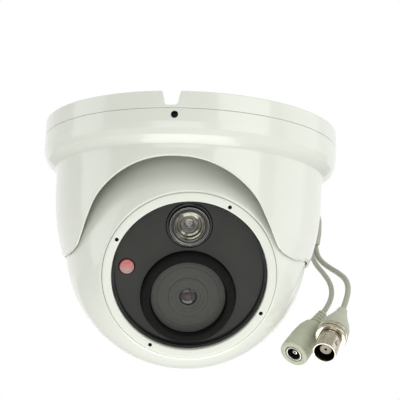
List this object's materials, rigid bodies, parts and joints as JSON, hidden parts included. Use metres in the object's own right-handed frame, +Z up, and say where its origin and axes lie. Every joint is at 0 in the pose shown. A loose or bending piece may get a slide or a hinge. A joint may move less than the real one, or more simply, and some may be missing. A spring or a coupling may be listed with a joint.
{
  "type": "dome camera",
  "caption": "Ceiling-hung turret security camera: round base and arched skirt hold an eyeball with a lens, an infrared lamp and a light sensor; a cable ends in power and video jacks.",
  "frame": {"origin": "centre of the ceiling face of the base, in the ceiling plane", "axes": "+Z up into the ceiling, -Y out through the middle of the arch, +X completes the frame and points to the side where the cable hangs"},
  "size_m": [0.1272, 0.13, 0.0982],
  "materials": {
    "white_paint": "glossy white coat with a fine orange-peel",
    "panel_grey": "smooth dark grey",
    "black_plastic": "satin black",
    "black_rubber": "matt black",
    "nylon": "off-white nylon",
    "cable_grey": "satin beige-grey moulded vinyl",
    "nickel": "bright nickel plate",
    "steel": "plain steel",
    "aluminium": "die-cast, as machined",
    "brass": "plain brass",
    "board_green": "green solder mask",
    "board_black": "black solder mask",
    "clear": "clear polished",
    "lens_glass": "coated lens glass",
    "chip": "moulded black package",
    "sensor_red": "reddish resin face"
  },
  "bodies": {
    "base": {"base_plate": "white_paint", "cable_grommet": "black_rubber", "inner_plug": "nylon", "main_cable": "cable_grey", "cable_splitter": "cable_grey", "dc_lead": "cable_grey", "dc_strain_relief": "cable_grey", "dc_jack_body": "cable_grey", "dc_jack_sleeve": "nickel", "dc_jack_pin": "nickel", "bnc_lead": "cable_grey", "bnc_boot": "cable_grey", "bnc_collar": "nickel", "bnc_sleeve": "nickel", "bnc_insulator": "nylon"},
    "turret": {"turret_cover": "white_paint", "set_screw_1": "steel", "set_screw_2": "steel", "set_screw_3": "steel"},
    "seat": {"friction_ring": "nylon"},
    "ball": {"ball_front_shell": "white_paint", "ball_rear_shell": "white_paint", "ball_screw_left": "steel", "ball_screw_right": "steel", "ball_gland": "black_rubber", "eye_seal_ring": "black_rubber"},
    "eye": {"front_ring": "white_paint", "eye_housing": "aluminium", "eye_retaining_nut": "aluminium", "window_panel": "panel_grey", "window_gasket": "black_rubber", "lens_hood": "black_plastic", "lens_plate": "panel_grey", "lens_holder": "black_plastic", "sensor_board": "board_green", "image_sensor": "chip", "ir_board": "board_black", "ir_led": "chip", "ir_lens": "clear", "ir_collar": "panel_grey", "ir_heat_sink": "aluminium", "light_sensor": "sensor_red", "ir_board_post_1": "brass", "ir_board_post_2": "brass", "ir_board_post_3": "brass", "ir_board_post_4": "brass", "sensor_board_post_1": "brass", "sensor_board_post_2": "brass", "sensor_board_post_3": "brass", "sensor_board_post_4": "brass"},
    "lens": {"lens_barrel": "black_plastic", "lens_front_glass": "lens_glass", "lens_rear_glass": "clear"}
  },
  "joints": [
    {"name": "cover_turn", "type": "hinge", "parent": "base", "child": "turret", "pos_m": [0, 0, -0.01], "axis": [0, 0, 1], "range_deg": [-175, 175]},
    {"name": "pan", "type": "hinge", "parent": "turret", "child": "seat", "pos_m": [0, 0, -0.0493], "axis": [0, 0, 1], "range_deg": [-34, 15]},
    {"name": "tilt", "type": "hinge", "parent": "seat", "child": "ball", "pos_m": [0, 0, -0.0493], "axis": [-0.9869, -0.1616, 0], "range_deg": [-50, 14]},
    {"name": "roll", "type": "hinge", "parent": "ball", "child": "eye", "pos_m": [0, 0, -0.0493], "axis": [0.1423, -0.8689, -0.4741], "range_deg": [-170, 170]},
    {"name": "focus", "type": "hinge", "parent": "eye", "child": "lens", "pos_m": [-0.00055, 0.00433, -0.05741], "axis": [0.1423, -0.8689, -0.4741], "range_deg": [-180, 180]}
  ]
}
